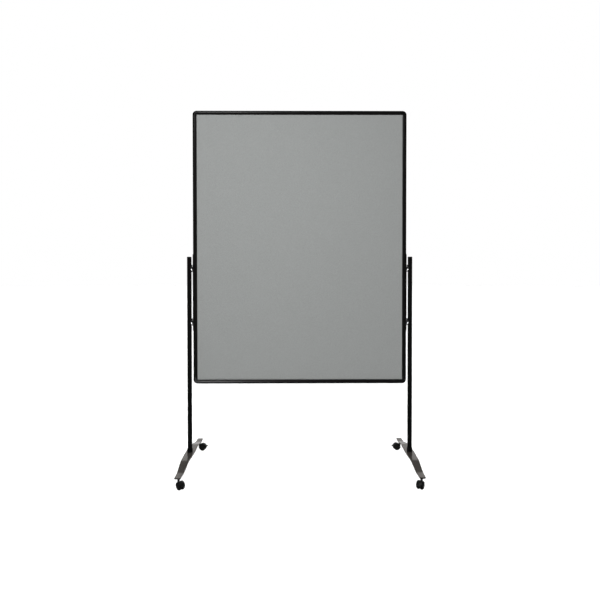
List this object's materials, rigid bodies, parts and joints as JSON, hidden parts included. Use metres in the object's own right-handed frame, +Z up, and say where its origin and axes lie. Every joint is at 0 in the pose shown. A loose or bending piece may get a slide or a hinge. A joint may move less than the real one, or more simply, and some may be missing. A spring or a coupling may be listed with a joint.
{
  "type": "partition wall",
  "caption": "Mobile pinboard partition wall: grey felt board in a slim black frame, hooked on two black posts with arched grey feet and braked twin-wheel castors.",
  "frame": {"origin": "on the floor, midway between the two posts", "axes": "+X along the board to the viewer's right, +Z up, and the front faces -Y"},
  "size_m": [1.2884, 0.6388, 1.994],
  "materials": {
    "black_frame": "satin",
    "black_post": "satin",
    "black_plastic": "satin",
    "castor_plastic": "satin",
    "castor_wheel": "satin",
    "grey_felt": "matte",
    "board_core": "matte",
    "foot_metal": "gloss",
    "polished_steel": "polished",
    "black_steel": "satin"
  },
  "bodies": {
    "stands": {"post_left": "black_post", "post_cap_left": "black_plastic", "post_socket_left": "black_plastic", "foot_left": "foot_metal", "foot_bolt_left": "black_steel", "stud_left_lower": "black_steel", "stud_dome_left_lower": "polished_steel", "stud_left_upper": "black_steel", "stud_dome_left_upper": "polished_steel", "post_right": "black_post", "post_cap_right": "black_plastic", "post_socket_right": "black_plastic", "foot_right": "foot_metal", "foot_bolt_right": "black_steel", "stud_right_lower": "black_steel", "stud_dome_right_lower": "polished_steel", "stud_right_upper": "black_steel", "stud_dome_right_upper": "polished_steel", "castor_stem_front_left": "black_steel", "castor_stem_rear_left": "black_steel", "castor_stem_front_right": "black_steel", "castor_stem_rear_right": "black_steel"},
    "board": {"board_core": "board_core", "felt_front": "grey_felt", "felt_back": "grey_felt", "rail_right": "black_frame", "rail_left": "black_frame", "rail_top": "black_frame", "rail_bottom": "black_frame", "corner_top_right": "black_plastic", "corner_bottom_right": "black_plastic", "corner_bottom_left": "black_plastic", "corner_top_left": "black_plastic", "hanger_plate_left": "black_steel", "plate_screw_left_lower": "black_steel", "plate_screw_left_upper": "black_steel", "hanger_plate_right": "black_steel", "plate_screw_right_lower": "black_steel", "plate_screw_right_upper": "black_steel"},
    "castor_front_left": {"castor_hood_front_left": "castor_plastic", "castor_axle_front_left": "polished_steel"},
    "wheel_front_left_a": {"castor_wheel_front_left_a": "castor_wheel"},
    "wheel_front_left_b": {"castor_wheel_front_left_b": "castor_wheel"},
    "pedal_front_left": {"castor_pedal_front_left": "castor_plastic"},
    "castor_rear_left": {"castor_hood_rear_left": "castor_plastic", "castor_axle_rear_left": "polished_steel"},
    "wheel_rear_left_a": {"castor_wheel_rear_left_a": "castor_wheel"},
    "wheel_rear_left_b": {"castor_wheel_rear_left_b": "castor_wheel"},
    "pedal_rear_left": {"castor_pedal_rear_left": "castor_plastic"},
    "castor_front_right": {"castor_hood_front_right": "castor_plastic", "castor_axle_front_right": "polished_steel"},
    "wheel_front_right_a": {"castor_wheel_front_right_a": "castor_wheel"},
    "wheel_front_right_b": {"castor_wheel_front_right_b": "castor_wheel"},
    "pedal_front_right": {"castor_pedal_front_right": "castor_plastic"},
    "castor_rear_right": {"castor_hood_rear_right": "castor_plastic", "castor_axle_rear_right": "polished_steel"},
    "wheel_rear_right_a": {"castor_wheel_rear_right_a": "castor_wheel"},
    "wheel_rear_right_b": {"castor_wheel_rear_right_b": "castor_wheel"},
    "pedal_rear_right": {"castor_pedal_rear_right": "castor_plastic"}
  },
  "joints": [
    {"name": "board_lift", "type": "slide", "parent": "stands", "child": "board", "axis": [0, 0, 1], "range_m": [0, 0.022]},
    {"name": "swivel_front_left", "type": "hinge", "parent": "stands", "child": "castor_front_left", "pos_m": [-0.618, -0.28, 0.045], "axis": [0, 0, 1], "continuous": true},
    {"name": "roll_front_left_a", "type": "hinge", "parent": "castor_front_left", "child": "wheel_front_left_a", "pos_m": [-0.61298, -0.30239, 0.02], "axis": [0.7431, 0.6691, 0], "continuous": true},
    {"name": "roll_front_left_b", "type": "hinge", "parent": "castor_front_left", "child": "wheel_front_left_b", "pos_m": [-0.59626, -0.28734, 0.02], "axis": [0.7431, 0.6691, 0], "continuous": true},
    {"name": "brake_front_left", "type": "hinge", "parent": "castor_front_left", "child": "pedal_front_left", "pos_m": [-0.588, -0.31332, 0.02619], "axis": [0.7431, 0.6691, 0], "range_deg": [0, 16]},
    {"name": "swivel_rear_left", "type": "hinge", "parent": "stands", "child": "castor_rear_left", "pos_m": [-0.618, 0.28, 0.045], "axis": [0, 0, 1], "continuous": true},
    {"name": "roll_rear_left_a", "type": "hinge", "parent": "castor_rear_left", "child": "wheel_rear_left_a", "pos_m": [-0.59929, 0.26672, 0.02], "axis": [0.1045, 0.9945, 0], "continuous": true},
    {"name": "roll_rear_left_b", "type": "hinge", "parent": "castor_rear_left", "child": "wheel_rear_left_b", "pos_m": [-0.59693, 0.2891, 0.02], "axis": [0.1045, 0.9945, 0], "continuous": true},
    {"name": "brake_rear_left", "type": "hinge", "parent": "castor_rear_left", "child": "pedal_rear_left", "pos_m": [-0.57341, 0.27531, 0.02619], "axis": [0.1045, 0.9945, 0], "range_deg": [0, 16]},
    {"name": "swivel_front_right", "type": "hinge", "parent": "stands", "child": "castor_front_right", "pos_m": [0.618, -0.28, 0.045], "axis": [0, 0, 1], "continuous": true},
    {"name": "roll_front_right_a", "type": "hinge", "parent": "castor_front_right", "child": "wheel_front_right_a", "pos_m": [0.59786, -0.291, 0.02], "axis": [0.848, -0.5299, 0], "continuous": true},
    {"name": "roll_front_right_b", "type": "hinge", "parent": "castor_front_right", "child": "wheel_front_right_b", "pos_m": [0.61694, -0.30292, 0.02], "axis": [0.848, -0.5299, 0], "continuous": true},
    {"name": "brake_front_right", "type": "hinge", "parent": "castor_front_right", "child": "pedal_front_right", "pos_m": [0.59424, -0.31803, 0.02619], "axis": [0.848, -0.5299, 0], "range_deg": [0, 16]},
    {"name": "swivel_rear_right", "type": "hinge", "parent": "stands", "child": "castor_rear_right", "pos_m": [0.618, 0.28, 0.045], "axis": [0, 0, 1], "continuous": true},
    {"name": "roll_rear_right_a", "type": "hinge", "parent": "castor_rear_right", "child": "wheel_rear_right_a", "pos_m": [0.59635, 0.28761, 0.02], "axis": [0.1736, -0.9848, 0], "continuous": true},
    {"name": "roll_rear_right_b", "type": "hinge", "parent": "castor_rear_right", "child": "wheel_rear_right_b", "pos_m": [0.60026, 0.26545, 0.02], "axis": [0.1736, -0.9848, 0], "continuous": true},
    {"name": "brake_rear_right", "type": "hinge", "parent": "castor_rear_right", "child": "pedal_rear_right", "pos_m": [0.57384, 0.27221, 0.02619], "axis": [0.1736, -0.9848, 0], "range_deg": [0, 16]}
  ]
}
